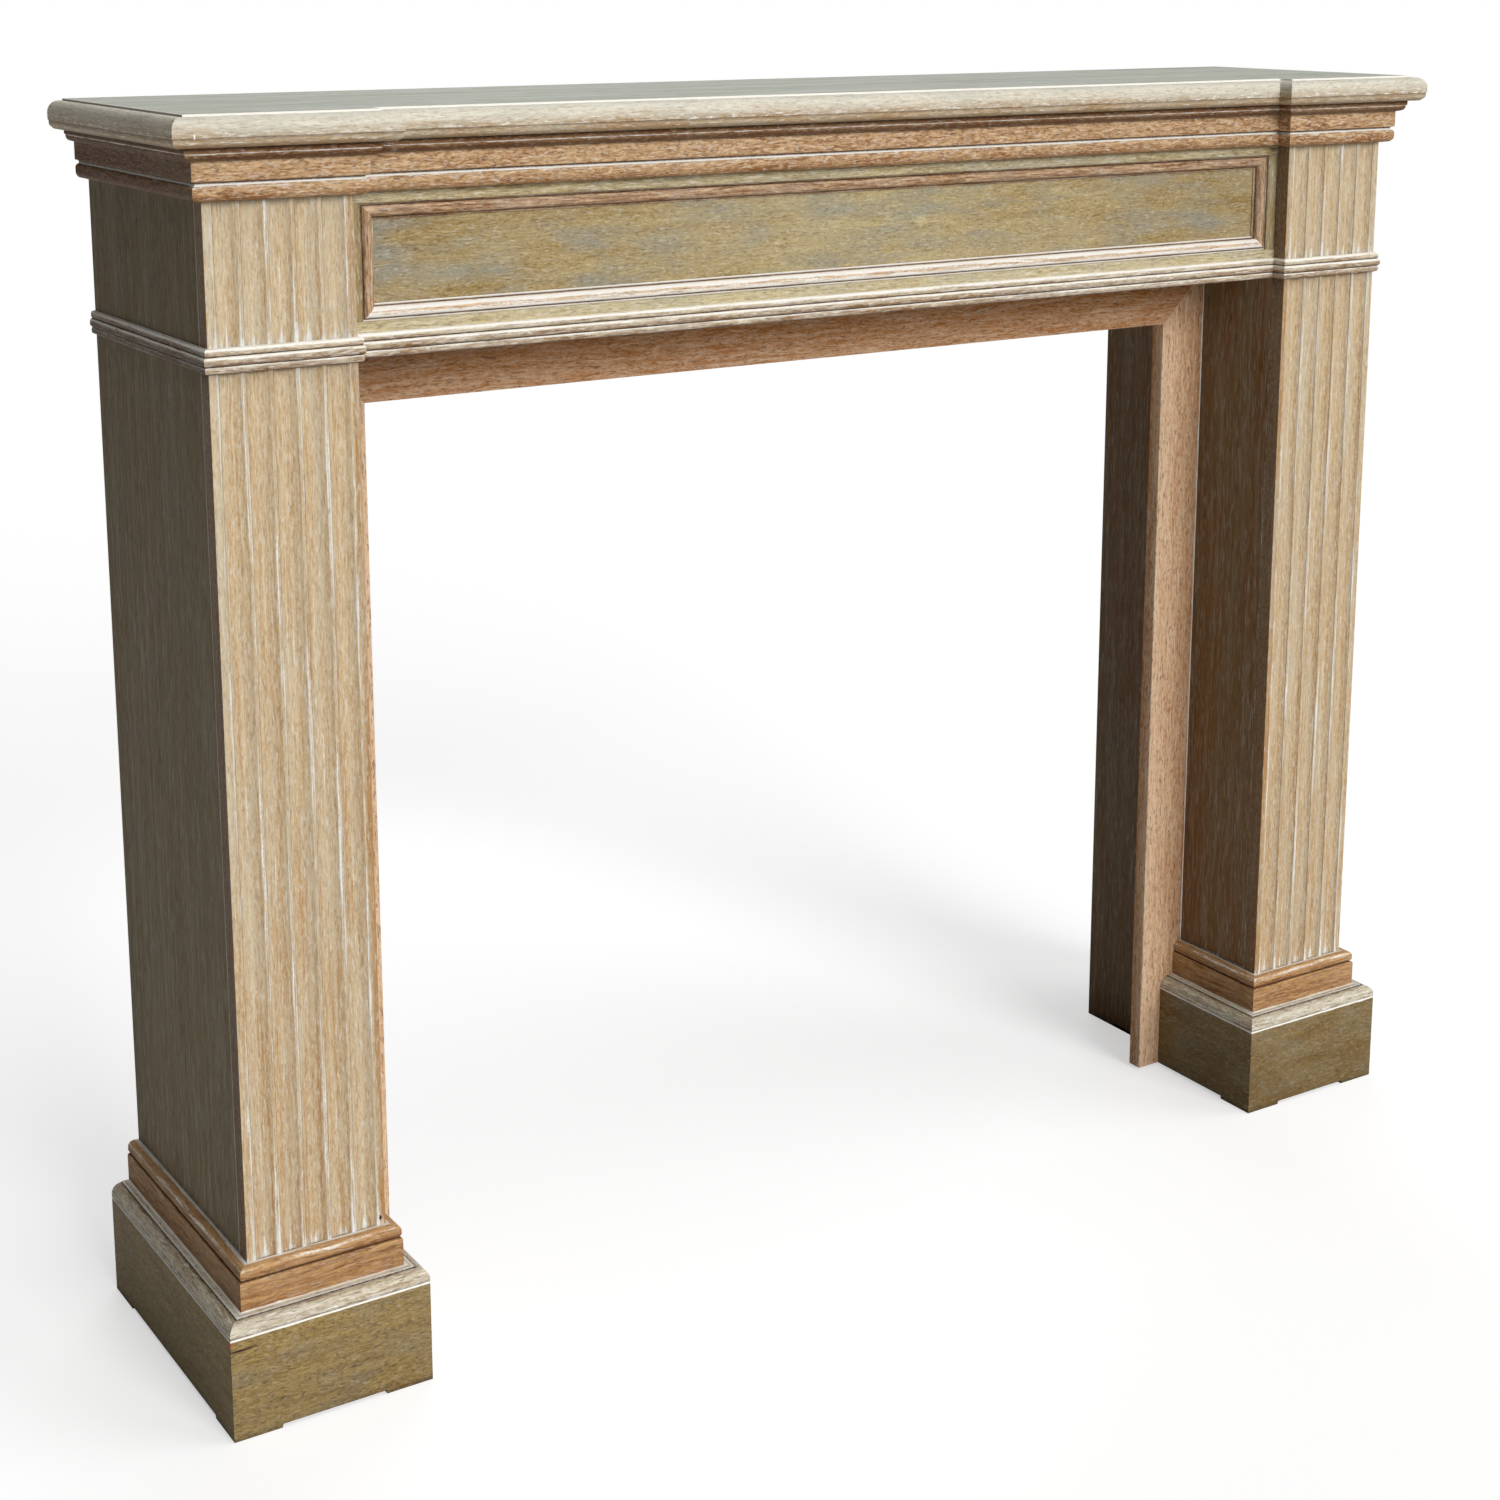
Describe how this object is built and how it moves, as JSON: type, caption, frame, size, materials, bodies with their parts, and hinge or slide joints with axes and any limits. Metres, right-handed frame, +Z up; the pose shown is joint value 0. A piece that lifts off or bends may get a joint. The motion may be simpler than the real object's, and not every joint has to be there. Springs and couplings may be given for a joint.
{
  "type": "fireplace mantelpiece",
  "caption": "Limed wood fire surround: boxed legs with fluted fronts on mitred plinths, a breakfront panelled frieze, slips around the opening and a moulded shelf.",
  "frame": {"origin": "on the floor, midway between the legs and midway between the wall and the front of the shelf", "axes": "+X to the right as seen from the room, +Y towards the wall, +Z up"},
  "size_m": [1.484, 0.336, 1.22],
  "materials": {
    "shelf_top": "limed wood, grey-green, matt",
    "nosing": "limed wood, cream over brown, matt",
    "cornice": "limed wood, orange-brown with white in the quirks, matt",
    "collar": "limed wood, white in the hollows, matt",
    "fluted_wood": "limed wood, light tan with cream and blue-white lime, matt",
    "side_wood": "limed wood, olive-brown, matt",
    "frieze_wood": "limed wood, olive-brown, matt",
    "panel_wood": "limed wood, khaki with grey patches, matt",
    "panel_moulding": "limed wood, brown with dark quirks, matt",
    "slip_wood": "wood, reddish brown, matt",
    "plinth_wood": "limed wood, scuffed olive-brown, matt",
    "cap_wood": "limed wood, grey-white, matt",
    "base_wood": "limed wood, orange-brown, matt"
  },
  "bodies": {
    "root": {"shelf_board": "shelf_top", "nosing_centre": "nosing", "nosing_left_return": "nosing", "nosing_left_front": "nosing", "nosing_left_break": "nosing", "nosing_right_return": "nosing", "nosing_right_front": "nosing", "nosing_right_break": "nosing", "cornice_centre": "cornice", "cornice_left_return": "cornice", "cornice_left_front": "cornice", "cornice_left_break": "cornice", "cornice_right_return": "cornice", "cornice_right_front": "cornice", "cornice_right_break": "cornice", "collar_centre": "collar", "collar_left_return": "collar", "collar_left_front": "collar", "collar_left_break": "collar", "collar_right_return": "collar", "collar_right_front": "collar", "collar_right_break": "collar", "left_fluted_board": "fluted_wood", "left_outer_side": "side_wood", "left_inner_side": "side_wood", "left_jamb_slip": "slip_wood", "frieze_left_stile": "frieze_wood", "left_plinth_outer": "plinth_wood", "left_cap_outer": "cap_wood", "left_base_outer": "base_wood", "left_plinth_front": "plinth_wood", "left_cap_front": "cap_wood", "left_base_front": "base_wood", "left_plinth_inner": "plinth_wood", "left_cap_inner": "cap_wood", "left_base_inner": "base_wood", "right_fluted_board": "fluted_wood", "right_outer_side": "side_wood", "right_inner_side": "side_wood", "right_jamb_slip": "slip_wood", "frieze_right_stile": "frieze_wood", "right_plinth_outer": "plinth_wood", "right_cap_outer": "cap_wood", "right_base_outer": "base_wood", "right_plinth_front": "plinth_wood", "right_cap_front": "cap_wood", "right_base_front": "base_wood", "right_plinth_inner": "plinth_wood", "right_cap_inner": "cap_wood", "right_base_inner": "base_wood", "frieze_top_rail": "frieze_wood", "frieze_bottom_rail": "frieze_wood", "frieze_panel": "panel_wood", "panel_moulding_top": "panel_moulding", "panel_moulding_bottom": "panel_moulding", "panel_moulding_left": "panel_moulding", "panel_moulding_right": "panel_moulding", "soffit_board": "side_wood", "header_slip": "slip_wood"}
  },
  "joints": []
}
